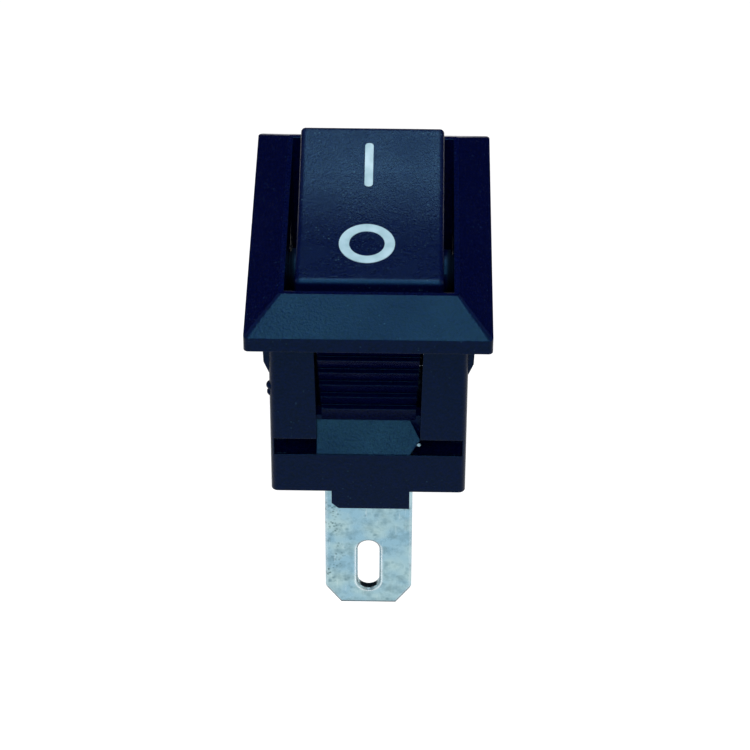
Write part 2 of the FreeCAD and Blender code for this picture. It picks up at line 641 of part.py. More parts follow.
def add_blocks(body):
    load = new_sketch(body, "XZ", "load_block_back")
    outline(load, [("-block_left", "-floor_depth"), ("-block_left", "-block_cut_depth"),
                   ("-block_cut_x", "-block_depth"), ("block_right", "-block_depth"),
                   ("block_right", "-floor_depth")])
    pad(body, load, "Sizes.body_half_y - Sizes.load_block_back")
    middle = new_sketch(body, "XY", "-block_depth")
    centred(middle, "block_half", "mid_block_half")
    pad(body, middle, "Sizes.block_depth - Sizes.floor_depth")
    passages = new_sketch(body, "XY")
    centred(passages, "passage_half_x", "passage_half_y")
    rectangle(passages, "-passage_half_x", "passage_half_x", "-passage_front_y", "-passage_back_y")
    pocket(body, passages)


# Rocker and what it holds are drawn about the rocker's axis, level, and then tilted to rest
def tilted_to_rest(item):
    tilt = Rotation(Vector(1, 0, 0), size("rocker_tilt"))
    item.Placement = Placement(Vector(0, 0, -size("pivot_depth")), tilt)
    item.setExpression("Placement.Base.z", "-Sizes.pivot_depth")
    item.setExpression("Placement.Rotation.Angle", "Sizes.rocker_tilt")


def rocker():
    body = new_body("rocker_cap")
    side = new_sketch(body, "YZ")
    right = [("rocker_half_y", "rocker_rise"), ("shoulder_y", "shoulder_z"), ("skirt_y", "skirt_z"),
             ("cheek_half", "-cheek_drop")]
    left = [("-" + y, z) for y, z in reversed(right)]
    outline(side, [("zero", "crease_z")] + right + left)
    pad(body, side, "Sizes.rocker_width", both=True)
    crease_z = size("crease_z")
    rounded(body, lambda edge: all(abs(p.z - crease_z) < EPSILON for p in ends(edge)), "crease_radius")
    round_cap(body)
    hollow = new_sketch(body, "XY", "hollow_top")
    centred(hollow, "hollow_half_x", "hollow_half_y")
    pocket(body, hollow)
    post = new_sketch(body, "XY", "-post_drop")
    circle(post, "zero", "zero", "post_diameter")
    pad(body, post, "Sizes.post_drop + Sizes.hollow_top")
    bore = new_sketch(body, "XY", "bore_top")
    circle(bore, "zero", "zero", "bore_diameter")
    pocket(body, bore)
    add_pins(body)
    tilted_to_rest(body)
    keep(body, "rocker")


def round_cap(body):
    top = size("shoulder_z")
    low = size("crease_z") - size("rocker_half_y") * math.tan(math.radians(size("face_angle")))
    foot = size("skirt_z")

    def top_edge(edge):
        return min(p.z for p in ends(edge)) > max(top, low) + EPSILON

    def upright(edge):
        a, b = ends(edge)
        return abs(a.x - b.x) < EPSILON and abs(a.y - b.y) > EPSILON and min(a.z, b.z) > foot - EPSILON \
            and min(a.z, b.z) < top + EPSILON and max(a.z, b.z) > foot + EPSILON

    rounded(body, lambda edge: top_edge(edge) or upright(edge), "rocker_edge")


def add_pins(body):
    for name, diameter in (("boss_half", "boss_diameter"), ("pin_half", "pin_diameter")):
        for back in (False, True):
            pins = new_sketch(body, "YZ", "-hollow_half_x" if back else "hollow_half_x")
            circle(pins, "zero", "zero", diameter)
            pad(body, pins, "Sizes.%s - Sizes.hollow_half_x" % name, back=back)


# Plunger: a round nose, a shank that slides in the post, and a spigot in the spring
def plunger():
    body = new_body("plunger_pin")
    shank = new_sketch(body, "XZ")
    outline(shank, [("zero", "-plunger_reach"), ("plunger_nose", "-plunger_reach"),
                    ("plunger_nose", "plunger_top"),
                    ("spigot_half", "plunger_top"), ("spigot_half", "spigot_top"), ("zero", "spigot_top")])
    turn(body, shank)
    nose = new_sketch(body, "XZ")
    quarter_disc(nose, "-plunger_reach", "plunger_nose")
    turn(body, nose)
    tilted_to_rest(body)
    keep(body, "plunger")


def turn(body, sketch):
    feature = body.newObject("PartDesign::Revolution", body.Name + "_turned")
    feature.Profile = sketch
    feature.ReferenceAxis = (sketch, ["V_Axis"])
    feature.Angle = 360
    doc.recompute()
    return feature


# Spring: straight spans of round wire round a helix, joined end to end
def plunger_spring():
    turns, steps = int(size("spring_turns")), int(size("turn_spans"))
    radius, wire = size("coil_radius"), size("spring_wire")
    low = size("plunger_top") + wire / 2 + size("fit_gap")
    high = size("bore_top") - wire / 2 - size("fit_gap")
    sections = []
    for i in range(steps * turns + 1):
        angle = 2 * math.pi * i / steps
        climb = (high - low) / (2 * math.pi * turns)
        place = Vector(radius * math.cos(angle), radius * math.sin(angle), low + climb * angle)
        out = Vector(math.cos(angle), math.sin(angle), 0)
        along = Vector(-radius * math.sin(angle), radius * math.cos(angle), climb).normalize()
        sections.append(wire_section(place, out, along.cross(out), wire / 2))
    spring = doc.addObject("Part::Feature", "coil")
    spring.Shape = Part.makeLoft(sections, True, True)
    tilted_to_rest(spring)
    keep(spring, "plunger_spring")


def wire_section(place, out, up, radius):
    corners = []
    for i in range(9):
        turn_angle = math.pi / 4 * i
        corners.append(place + out * (radius * math.cos(turn_angle)) + up * (radius * math.sin(turn_angle)))
    return Part.makePolygon(corners)


# Contact arm: a channel whose notched side flanges ride on the common terminal's edge
def laid_on_terminal(item):
    tilt = Rotation(Vector(-1, 0, 0), size("arm_tilt"))
    item.Placement = Placement(Vector(0, 0, -size("arm_axis_depth")), tilt)
    item.setExpression("Placement.Base.z", "-Sizes.arm_axis_depth")
    item.setExpression("Placement.Rotation.Angle", "Sizes.arm_tilt")


def contact_arm():
    body = new_body("arm_strip")
    web = new_sketch(body, "XY", "arm_web_rise")
    outline(web, [("-arm_half", "arm_back"), ("-arm_half", "-arm_front_in"), ("-arm_half_in", "-arm_front"),
                  ("arm_half_in", "-arm_front"), ("arm_half", "-arm_front_in"), ("arm_half", "arm_back")])
    pad(body, web, "Sizes.arm_thickness")
    flange = new_sketch(body, "YZ")
    right = [("notch_half", "notch_top"), ("notch_half", "-flange_drop"), ("flange_foot", "-flange_drop"),
             ("flange_half", "arm_top")]
    left = [("-" + y, z) for y, z in reversed(right)]
    outline(flange, right + left)
    pad(body, flange, "Sizes.arm_width", both=True)
    inside = new_sketch(body, "XY", "arm_web_rise")
    centred(inside, "flange_inside", "flange_half")
    pocket(body, inside)
    hole = new_sketch(body, "XY")
    circle(hole, "zero", "-contact_reach", "contact_shank")
    pocket(body, hole, back=True)
    laid_on_terminal(body)
    keep(body, "contact_arm")


def moving_contact():
    body = new_body("moving_rivet")
    half = new_sketch(body, "XZ", "contact_reach")
    outline(half, [("zero", "contact_low"), ("contact_face_radius", "contact_low"),
                   ("contact_radius", "contact_bevel"), ("contact_radius", "arm_web_rise"),
                   ("contact_shank_radius", "arm_web_rise"), ("contact_shank_radius", "arm_top"),
                   ("contact_face_radius", "arm_top"), ("contact_shank_radius", "contact_crown"),
                   ("zero", "contact_crown")])
    turn(body, half)
    laid_on_terminal(body)
    keep(body, "moving_contact")


# Terminals: stamped strip with coined tabs
def cut_tab(body):
    start, half = -size("tab_start"), size("tab_half")

    def long_edge(edge):
        a, b = ends(edge)
        beside = abs(abs(a.x) - half) < EPSILON and runs_along(edge, Vector(0, 0, 1))
        return beside and max(a.z, b.z) < start + EPSILON

    rounded(body, long_edge, "tab_edge")
    tips = new_sketch(body, "XZ")
    outline(tips, [("tab_half", "-tip_start"), ("tip_x", "-tab_depth"), ("tab_half", "-tab_depth")])
    outline(tips, [("-tab_half", "-tip_start"), ("-tab_half", "-tab_depth"), ("-tip_x", "-tab_depth")])
    pocket(body, tips, both=True)
    eye = new_sketch(body, "XZ")
    upright_slot(eye, "eye_half", "-eye_low", "-eye_high")
    pocket(body, eye, both=True)

    def eye_edge(edge):
        a, b = ends(edge)
        beside = all(abs(abs(p.x) - size("eye_half")) < EPSILON for p in (a, b))
        level = min(a.z, b.z) > -size("tab_depth") and max(a.z, b.z) < start
        return beside and level and abs(a.y - b.y) < EPSILON

    chamfered(body, eye_edge, "eye_rim")


def load_terminal():
    body = new_body("load_strip")
    side = new_sketch(body, "YZ")
    outline(side, [("-strip_front_y", "-tab_start"), ("-strip_back_y", "-tab_start"),
                   ("-strip_back_y", "-floor_depth"), ("-foot_y", "-floor_depth"), ("-foot_y", "-foot_depth"),
                   ("-strip_front_y", "-foot_depth")])
    pad(body, side, "Sizes.tab_width", both=True)
    corner = size("strip_front_y"), size("foot_depth")
    rounded(body, lambda edge: all(abs(p.y + corner[0]) + abs(p.z + corner[1]) < EPSILON for p in ends(edge)),
            "bend_radius")
    tab = new_sketch(body, "YZ")
    rectangle(tab, "-tab_front_y", "-tab_back_y", "-tab_depth", "-tab_start")
    pad(body, tab, "Sizes.tab_width", both=True)
    cut_tab(body)
    hole = new_sketch(body, "XY", "-foot_depth")
    circle(hole, "zero", "-contact_reach", "contact_shank")
    pocket(body, hole, "Sizes.strip_thickness")
    keep(body, "load_terminal")


def common_terminal():
    body = new_body("common_strip")
    front = new_sketch(body, "XZ")
    right = [("neck_half", "-arm_axis_depth"), ("neck_half", "-neck_start"), ("shoulder_half", "-neck_start"),
             ("shoulder_half", "-floor_depth"), ("tab_half", "-floor_depth"), ("tab_half", "-tab_start")]
    left = [("-" + x, z) for x, z in reversed(right)]
    outline(front, right + left)
    pad(body, front, "Sizes.strip_thickness", both=True)
    tab = new_sketch(body, "YZ")
    rectangle(tab, "-tab_half_t", "tab_half_t", "-tab_depth", "-tab_start")
    pad(body, tab, "Sizes.tab_width", both=True)
    cut_tab(body)
    keep(body, "common_terminal")


def fixed_contact():
    body = new_body("fixed_rivet")
    head = new_sketch(body, "XY", "-foot_depth")
    circle(head, "zero", "-contact_reach", "contact_diameter")
    pad(body, head, "Sizes.foot_depth - Sizes.fixed_top_depth")
    shank = new_sketch(body, "XY", "-floor_depth")
    circle(shank, "zero", "-contact_reach", "contact_shank")
    pad(body, shank, "Sizes.floor_depth - Sizes.foot_depth")
    keep(body, "fixed_contact")


def check_and_export():
    doc.recompute()
    for item in doc.Objects:
        if "Invalid" in item.State or "Error" in item.State:
            raise RuntimeError(item.Label + " failed: " + str(item.State))
    for item in nodes:
        if item.Shape.isNull() or not item.Shape.isValid() or len(item.Shape.Solids) != 1:
            raise RuntimeError(item.Label + " has no sound solid")
    os.makedirs("parts", exist_ok=True)
    for item in nodes:
        item.Shape.exportStep("parts/%s.step" % item.Label)
        print(item.Label, "volume %.3f mm3" % item.Shape.Volume)


fill_sheet()
housing()
base()
rocker()
plunger()
plunger_spring()
contact_arm()
moving_contact()
load_terminal()
fixed_contact()
common_terminal()
check_and_export()
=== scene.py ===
import json
import math

import bpy
from mathutils import Matrix, Vector


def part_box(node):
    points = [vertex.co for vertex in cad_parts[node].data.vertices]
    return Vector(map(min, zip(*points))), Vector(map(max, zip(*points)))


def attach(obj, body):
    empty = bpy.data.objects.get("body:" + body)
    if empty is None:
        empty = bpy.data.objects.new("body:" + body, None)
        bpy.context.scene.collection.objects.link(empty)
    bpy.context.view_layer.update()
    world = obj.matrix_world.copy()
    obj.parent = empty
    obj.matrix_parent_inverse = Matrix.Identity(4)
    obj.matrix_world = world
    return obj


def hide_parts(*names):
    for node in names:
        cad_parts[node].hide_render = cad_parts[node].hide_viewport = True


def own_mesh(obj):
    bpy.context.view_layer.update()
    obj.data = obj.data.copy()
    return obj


mm = 0.001

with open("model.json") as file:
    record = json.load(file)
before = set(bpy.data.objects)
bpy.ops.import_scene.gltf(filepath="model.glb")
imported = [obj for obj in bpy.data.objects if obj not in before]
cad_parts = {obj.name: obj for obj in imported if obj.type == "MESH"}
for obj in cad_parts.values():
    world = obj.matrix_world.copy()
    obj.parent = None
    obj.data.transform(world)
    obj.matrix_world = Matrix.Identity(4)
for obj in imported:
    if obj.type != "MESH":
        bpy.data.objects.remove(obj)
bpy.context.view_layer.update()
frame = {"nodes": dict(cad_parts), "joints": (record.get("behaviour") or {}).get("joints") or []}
nodes = frame["nodes"]
print("frame loaded:", len(nodes), "nodes")


# small helpers for objects and edit mode

def deselectAll():
    if bpy.context.object and bpy.context.object.mode != "OBJECT":
        bpy.ops.object.mode_set(mode="OBJECT")
    bpy.ops.object.select_all(action="DESELECT")


def pickOnly(obj):
    deselectAll()
    obj.select_set(True)
    bpy.context.view_layer.objects.active = obj


def pickFaces(obj, test):
    bpy.ops.object.mode_set(mode="OBJECT")
    mesh = obj.data
    for group in (mesh.vertices, mesh.edges, mesh.polygons):
        group.foreach_set("select", [False] * len(group))
    for face in mesh.polygons:
        if test(face.center, face.normal):
            face.select = True
    bpy.ops.object.mode_set(mode="EDIT")
    bpy.ops.mesh.select_mode(type="FACE")


def applyModifiers(obj):
    pickOnly(obj)
    for name in [m.name for m in obj.modifiers]:
        bpy.ops.object.modifier_apply(modifier=name)


def settle(obj, name):
    # place and turn go into the mesh, so the object itself stays at the origin
    pickOnly(obj)
    bpy.ops.object.transform_apply(location=True, rotation=True, scale=True)
    obj.name = name
    obj.data.name = name
    return obj


def dress(obj, material):
    if not obj.material_slots:
        obj.data.materials.append(material)
    for slot in obj.material_slots:
        slot.material = material


# small helpers for shader nodes

def feed(tree, value, socket):
    # a plain value stays on the socket, anything else is linked to it
    if isinstance(value, (int, float, tuple)):
        socket.default_value = value
    else:
        tree.links.new(value, socket)


def mathNode(tree, operation, first, second=None, clamp=False):
    node = tree.nodes.new("ShaderNodeMath")
    node.operation = operation
    node.use_clamp = clamp
    feed(tree, first, node.inputs[0])
    if second is not None:
        feed(tree, second, node.inputs[1])
    return node.outputs[0]


def mixColour(tree, factor, first, second):
    node = tree.nodes.new("ShaderNodeMix")
    node.data_type = "RGBA"
    # sockets 6 and 7 are the two colours, and output 2 is the mixed one
    for number, value in ((0, factor), (6, first), (7, second)):
        feed(tree, value, node.inputs[number])
    return node.outputs[2]


def rangeNode(tree, value, low, high, toLow=0.0, toHigh=1.0):
    node = tree.nodes.new("ShaderNodeMapRange")
    tree.links.new(value, node.inputs["Value"])
    labels = ("From Min", "From Max", "To Min", "To Max")
    for label, number in zip(labels, (low, high, toLow, toHigh)):
        node.inputs[label].default_value = number
    return node.outputs["Result"]


def objectPlace(tree):
    return tree.nodes.new("ShaderNodeTexCoord").outputs["Object"]


def splitAxes(tree, vector):
    node = tree.nodes.new("ShaderNodeSeparateXYZ")
    tree.links.new(vector, node.inputs[0])
    return node.outputs


def textureNode(tree, kind, vector, scale, settings=None):
    node = tree.nodes.new(kind)
    tree.links.new(vector, node.inputs["Vector"])
    feed(tree, scale, node.inputs["Scale"])
    for label, value in (settings or {}).items():
        node.inputs[label].default_value = value
    return node


def cellShade(tree, cells):
    # the random colour of each cell, as three plain numbers
    node = tree.nodes.new("ShaderNodeSeparateColor")
    tree.links.new(cells.outputs["Color"], node.inputs["Color"])
    return node.outputs


# shader groups shared by the materials: they give heights, masks and normals

def newGroup(name, inputs, outputs):
    tree = bpy.data.node_groups.new(name, "ShaderNodeTree")
    for label in inputs:
        tree.interface.new_socket(name=label, in_out="INPUT", socket_type="NodeSocketFloat")
    for label in outputs:
        kind = "NodeSocketVector" if label == "Normal" else "NodeSocketFloat"
        tree.interface.new_socket(name=label, in_out="OUTPUT", socket_type=kind)
    return tree, tree.nodes.new("NodeGroupInput"), tree.nodes.new("NodeGroupOutput")


noise = "ShaderNodeTexNoise"
cellular = "ShaderNodeTexVoronoi"
noiseSpan = (0.3, 0.7)  # what a noise texture reaches in practice

grainSettings = {
    "tooth": {"Detail": 3.0, "Roughness": 0.6},
    "cloud": {"Detail": 2.0},
}


def grainGroup():
    # moulded grain: a fine even tooth with a slow cloudy change of gloss
    tree, inward, outward = newGroup("mouldedGrain", ["Tooth", "Cloud"],
                                     ["Height", "Gloss", "Speckle"])
    place = objectPlace(tree)
    tooth = textureNode(tree, noise, place, inward.outputs["Tooth"], grainSettings["tooth"])
    cloud = textureNode(tree, noise, place, inward.outputs["Cloud"], grainSettings["cloud"])
    tree.links.new(tooth.outputs["Fac"], outward.inputs["Height"])
    tree.links.new(cloud.outputs["Fac"], outward.inputs["Gloss"])
    tree.links.new(rangeNode(tree, tooth.outputs["Fac"], *noiseSpan), outward.inputs["Speckle"])
    return tree


dustSettings = {
    "speckRange": (0.15, 0.45),
    "patchScale": 700.0,
    "patchRange": (0.42, 0.62),
}


def dustGroup():
    # sparse pale specks: a few cells of a fine pattern that a coarse pattern lets through
    tree, inward, outward = newGroup("pepperedDust", ["Scale", "Amount"], ["Mask"])
    place = objectPlace(tree)
    cells = textureNode(tree, cellular, place, inward.outputs["Scale"])
    spread = textureNode(tree, noise, place, dustSettings["patchScale"])
    shade = cellShade(tree, cells)
    chosen = mathNode(tree, "LESS_THAN", shade[0], inward.outputs["Amount"])
    small = rangeNode(tree, cells.outputs["Distance"], *dustSettings["speckRange"], 1.0, 0.0)
    uneven = mathNode(tree, "MULTIPLY", chosen, mathNode(tree, "MULTIPLY", small, shade[2]))
    patch = rangeNode(tree, spread.outputs["Fac"], *dustSettings["patchRange"])
    tree.links.new(mathNode(tree, "MULTIPLY", uneven, patch), outward.inputs["Mask"])
    return tree


roundedEdgeSettings = {"samples": 6}


def roundedEdgeGroup():
    # rounded edges: how far the rounded normal leans away from the flat one; the mask carries the
    # painted edge highlights
    tree, inward, outward = newGroup("roundedEdgeMask", ["Radius", "Grip"], ["Mask", "Normal"])
    bevel = tree.nodes.new("ShaderNodeBevel")
    bevel.samples = roundedEdgeSettings["samples"]
    tree.links.new(inward.outputs["Radius"], bevel.inputs["Radius"])
    surface = tree.nodes.new("ShaderNodeNewGeometry")
    dot = tree.nodes.new("ShaderNodeVectorMath")
    dot.operation = "DOT_PRODUCT"
    tree.links.new(bevel.outputs["Normal"], dot.inputs[0])
    tree.links.new(surface.outputs["Normal"], dot.inputs[1])
    lean = mathNode(tree, "SUBTRACT", 1.0, dot.outputs["Value"])
    tree.links.new(mathNode(tree, "MULTIPLY", lean, inward.outputs["Grip"], clamp=True),
                   outward.inputs["Mask"])
    tree.links.new(bevel.outputs["Normal"], outward.inputs["Normal"])
    return tree


scuffSettings = {
    "pitShare": 0.5,
    "pitRange": (0.2, 0.6),
    "clusterRange": (0.54, 0.64),
    "scratchTurns": (22.0, -38.0),
    "scratchStretch": (12.0, 1.0, 1.4),
    "scratchDetail": {"Detail": 1.0},
    "scratchRange": (0.70, 0.76),
}


def scuffGroup():
    # handling marks on metal: pits in clusters, and short scratches at two angles
    tree, inward, outward = newGroup("handlingMarks", ["Pits", "Clusters", "Scratches"],
                                     ["Pits", "Scratches"])
    place = objectPlace(tree)
    cells = textureNode(tree, cellular, place, inward.outputs["Pits"])
    shade = cellShade(tree, cells)
    chosen = mathNode(tree, "LESS_THAN", shade[1], scuffSettings["pitShare"])
    small = rangeNode(tree, cells.outputs["Distance"], *scuffSettings["pitRange"], 1.0, 0.0)
    cluster = textureNode(tree, noise, place, inward.outputs["Clusters"])
    near = rangeNode(tree, cluster.outputs["Fac"], *scuffSettings["clusterRange"])
    pits = mathNode(tree, "MULTIPLY", mathNode(tree, "MULTIPLY", chosen, small), near)
    tree.links.new(pits, outward.inputs["Pits"])
    lines = []
    for turn in scuffSettings["scratchTurns"]:
        mapping = tree.nodes.new("ShaderNodeMapping")
        mapping.inputs["Rotation"].default_value = (0.0, math.radians(turn), 0.0)
        mapping.inputs["Scale"].default_value = scuffSettings["scratchStretch"]
        tree.links.new(place, mapping.inputs["Vector"])
        streak = textureNode(tree, noise, mapping.outputs["Vector"], inward.outputs["Scratches"],
                             scuffSettings["scratchDetail"])
        lines.append(rangeNode(tree, streak.outputs["Fac"], *scuffSettings["scratchRange"]))
    tree.links.new(mathNode(tree, "MAXIMUM", *lines), outward.inputs["Scratches"])
    return tree


groups = {"grain": grainGroup(), "dust": dustGroup(), "edgeRound": roundedEdgeGroup(), "scuff": scuffGroup()}
print("shader groups built:", ", ".join(groups))


# what every material uses

def newMaterial(name):
    material = bpy.data.materials.new(name)
    material.use_nodes = True
    tree = material.node_tree
    shader = next(n for n in tree.nodes if n.type == "BSDF_PRINCIPLED")
    return material, tree, shader


def useGroup(tree, key, values):
    node = tree.nodes.new("ShaderNodeGroup")
    node.node_tree = groups[key]
    for label, value in values.items():
        node.inputs[label].default_value = value
    return node


def glossNode(tree, grain, look):
    # the cloudy pattern moves the roughness between the look's two values
    return rangeNode(tree, grain.outputs["Gloss"], *noiseSpan, *look["roughness"])


def bumpNode(tree, height, look, normal=None):
    bump = tree.nodes.new("ShaderNodeBump")
    bump.inputs["Strength"].default_value = look["bump"]
    bump.inputs["Distance"].default_value = look["bumpDepth"]
    tree.links.new(height, bump.inputs["Height"])
    if normal is not None:
        tree.links.new(normal, bump.inputs["Normal"])
    return bump.outputs["Normal"]


housingLook = {
    "colour": (0.0001, 0.0006, 0.011, 1.0),
    "speckle": (0.0006, 0.0024, 0.033, 1.0),
    "dustColour": (0.012, 0.035, 0.07, 1.0),
    "dustAmount": 0.08,
    "dustScale": 9000.0,
    "rubbedAndHighlitEdge": (0.008, 0.030, 0.08, 1.0),
    "rubbedAndHighlitShare": 0.35,
    "grip": 2.5,
    "edge": 0.04 * mm,
    "roughness": (0.18, 0.27),
    "sheenTint": (0.18, 0.67, 1.0, 1.0),
    "level": 0.098,
    "tooth": 9000.0,
    "cloud": 450.0,
    "bump": 1.0,
    "bumpDepth": 0.015 * mm,
}

rockerLook = {
    "colour": (0.0001, 0.0006, 0.011, 1.0),
    "speckle": (0.0008, 0.0030, 0.035, 1.0),
    "dustColour": (0.03, 0.07, 0.11, 1.0),
    "dustAmount": 0.18,
    "dustScale": 9000.0,
    "rubbedAndHighlitEdge": (0.014, 0.040, 0.09, 1.0),
    "rubbedAndHighlitShare": 0.6,
    "grip": 2.5,
    "edge": 0.15 * mm,
    "roughness": (0.20, 0.31),
    "sheenTint": (0.14, 0.57, 1.0, 1.0),
    "level": 0.150,
    "tooth": 10000.0,
    "cloud": 450.0,
    "bump": 1.0,
    "bumpDepth": 0.015 * mm,
    # painted shade: the bosses beside the cap are painted dark, as the shade in the gap, and made
    # matt
    "paintedBossShade": (3.28 * mm, 3.40 * mm),
    "paintedBossShadeColour": (0.0002, 0.0004, 0.004, 1.0),
    "paintedBossShadeMatt": 0.5,
}


def plasticMaterial(name, look):
    material, tree, shader = newMaterial(name)
    grain = useGroup(tree, "grain", {"Tooth": look["tooth"], "Cloud": look["cloud"]})
    dust = useGroup(tree, "dust", {"Scale": look["dustScale"], "Amount": look["dustAmount"]})
    edgeRound = useGroup(tree, "edgeRound", {"Radius": look["edge"], "Grip": look["grip"]})
    colour = mixColour(tree, grain.outputs["Speckle"], look["colour"], look["speckle"])
    # edges lightened toward a paler blue: rubbed wear together with a painted edge highlight
    rubbedAndHighlitShare = mathNode(tree, "MULTIPLY", edgeRound.outputs["Mask"], look["rubbedAndHighlitShare"])
    colour = mixColour(tree, rubbedAndHighlitShare, colour, look["rubbedAndHighlitEdge"])
    colour = mixColour(tree, dust.outputs["Mask"], colour, look["dustColour"])
    gloss = glossNode(tree, grain, look)
    # painted shade: beyond the cap's sides the colour goes dark and the surface matt
    if "paintedBossShade" in look:
        across = mathNode(tree, "ABSOLUTE", splitAxes(tree, objectPlace(tree))["X"])
        paintedBossShade = rangeNode(tree, across, *look["paintedBossShade"])
        colour = mixColour(tree, paintedBossShade, colour, look["paintedBossShadeColour"])
        matt = mathNode(tree, "MULTIPLY", paintedBossShade, look["paintedBossShadeMatt"])
        gloss = mathNode(tree, "ADD", gloss, matt, clamp=True)
    tree.links.new(colour, shader.inputs["Base Color"])
    tree.links.new(gloss, shader.inputs["Roughness"])
    shader.inputs["Specular Tint"].default_value = look["sheenTint"]
    shader.inputs["Specular IOR Level"].default_value = look["level"]
    tree.links.new(bumpNode(tree, grain.outputs["Height"], look, edgeRound.outputs["Normal"]),
                   shader.inputs["Normal"])
    return material


plateLook = {
    "clear": (0.22, 0.38, 0.47, 1.0),
    "cloudy": (0.33, 0.48, 0.50, 1.0),
    "cloud": 900.0,
    "cloudRange": (0.36, 0.66),
    "dull": (0.10, 0.19, 0.23, 1.0),
    "dullTooth": 2200.0,
    "dullRange": (0.35, 0.95),
    "dullShare": 0.55,
    "pit": (0.03, 0.08, 0.09, 1.0),
    "pits": 8000.0,
    "pitClusters": 1000.0,
    "handled": (-1.95 * mm, -0.7 * mm),  # most pits lie at the left edge
    "leastPits": 0.12,
    "blots": 4300.0,
    "blotClusters": 1500.0,
    "blotShare": 0.7,
    "scratch": (0.80, 0.90, 0.92, 1.0),
    "scratches": 900.0,
    "scratchShare": 0.12,
    "paintedEdgeHighlight": (0.85, 0.93, 0.97, 1.0),
    "edge": 0.16 * mm,
    "grip": 9.0,
    "shearedAndUnderShade": (0.02, 0.035, 0.05, 1.0),
    "underLean": (-0.12, -0.35),
    "levelFace": (0.55, 0.75),
    "roughness": (0.22, 0.40),
    "bump": 0.3,
    "bumpDepth": 0.01 * mm,
}


def plateMaterial(name, look):
    # tinned strip: cloudy plating, pits where it was handled, painted highlights on the edges,
    # dark sheared ends, painted shade where edges lean down
    material, tree, shader = newMaterial(name)
    clouds = useGroup(tree, "grain", {"Cloud": look["cloud"]})
    slow = useGroup(tree, "grain", {"Tooth": look["dullTooth"]})
    scuff = useGroup(tree, "scuff", {"Pits": look["pits"], "Clusters": look["pitClusters"],
                                     "Scratches": look["scratches"]})
    blots = useGroup(tree, "scuff", {"Pits": look["blots"], "Clusters": look["blotClusters"]})
    edgeRound = useGroup(tree, "edgeRound", {"Radius": look["edge"], "Grip": look["grip"]})
    cloudy = rangeNode(tree, clouds.outputs["Gloss"], *look["cloudRange"])
    colour = mixColour(tree, cloudy, look["clear"], look["cloudy"])
    dull = rangeNode(tree, slow.outputs["Speckle"], *look["dullRange"])
    dull = mathNode(tree, "MULTIPLY", dull, look["dullShare"])
    colour = mixColour(tree, dull, colour, look["dull"])
    across = splitAxes(tree, objectPlace(tree))["X"]
    handled = rangeNode(tree, across, *look["handled"], 1.0, look["leastPits"])
    pits = mathNode(tree, "MULTIPLY", scuff.outputs["Pits"], handled)
    colour = mixColour(tree, pits, colour, look["pit"])
    blot = mathNode(tree, "MULTIPLY", blots.outputs["Pits"], look["blotShare"])
    colour = mixColour(tree, blot, colour, look["dull"])
    scratch = mathNode(tree, "MULTIPLY", scuff.outputs["Scratches"], look["scratchShare"])
    colour = mixColour(tree, scratch, colour, look["scratch"])
    # painted highlight: the rounded edges of the strip are lightened
    colour = mixColour(tree, edgeRound.outputs["Mask"], colour, look["paintedEdgeHighlight"])
    # cut faces that look straight up or down are dull sheared metal; rounded edges that lean down
    # take the same dark colour as painted shade
    surface = tree.nodes.new("ShaderNodeNewGeometry")
    facing = splitAxes(tree, surface.outputs["Normal"])["Z"]
    lean = splitAxes(tree, edgeRound.outputs["Normal"])["Z"]
    under = rangeNode(tree, lean, *look["underLean"])
    level = rangeNode(tree, mathNode(tree, "ABSOLUTE", facing), *look["levelFace"])
    shearedAndUnderShade = mathNode(tree, "MAXIMUM", under, level)
    tree.links.new(mixColour(tree, shearedAndUnderShade, colour, look["shearedAndUnderShade"]), shader.inputs["Base Color"])
    shader.inputs["Metallic"].default_value = 1.0
    tree.links.new(glossNode(tree, clouds, look), shader.inputs["Roughness"])
    tree.links.new(bumpNode(tree, slow.outputs["Height"], look, edgeRound.outputs["Normal"]),
                   shader.inputs["Normal"])
    return material


metalLook = {
    "cloud": 700.0,
    "pits": 6000.0,
    "pitClusters": 1600.0,
    "scratches": 900.0,
    "scratchColour": (0.86, 0.90, 0.92, 1.0),
    "scratchShare": 0.35,
    "grip": 2.0,
    "bump": 0.2,
    "bumpDepth": 0.01 * mm,
}

bronzeLook = {
    **metalLook,
    "colour": (0.70, 0.42, 0.24, 1.0),
    "pitColour": (0.30, 0.17, 0.10, 1.0),
    "roughness": (0.28, 0.42),
    "edge": 0.04 * mm,
}

silverLook = {
    **metalLook,
    "colour": (0.74, 0.74, 0.71, 1.0),
    "pitColour": (0.35, 0.34, 0.32, 1.0),
    "roughness": (0.34, 0.5),
    "edge": 0.04 * mm,
}

steelLook = {
    **metalLook,
    "colour": (0.55, 0.56, 0.57, 1.0),
    "pitColour": (0.25, 0.25, 0.26, 1.0),
    "roughness": (0.26, 0.4),
    "edge": 0.01 * mm,
}


def metalMaterial(name, look):
    material, tree, shader = newMaterial(name)
    grain = useGroup(tree, "grain", {"Cloud": look["cloud"]})
    scuff = useGroup(tree, "scuff", {"Pits": look["pits"], "Clusters": look["pitClusters"],
                                     "Scratches": look["scratches"]})
    edgeRound = useGroup(tree, "edgeRound", {"Radius": look["edge"], "Grip": look["grip"]})
    pitted = mixColour(tree, scuff.outputs["Pits"], look["colour"], look["pitColour"])
    scratch = mathNode(tree, "MULTIPLY", scuff.outputs["Scratches"], look["scratchShare"])
    tree.links.new(mixColour(tree, scratch, pitted, look["scratchColour"]),
                   shader.inputs["Base Color"])
    shader.inputs["Metallic"].default_value = 1.0
    tree.links.new(glossNode(tree, grain, look), shader.inputs["Roughness"])
    tree.links.new(bumpNode(tree, scuff.outputs["Scratches"], look, edgeRound.outputs["Normal"]),
                   shader.inputs["Normal"])
    return material


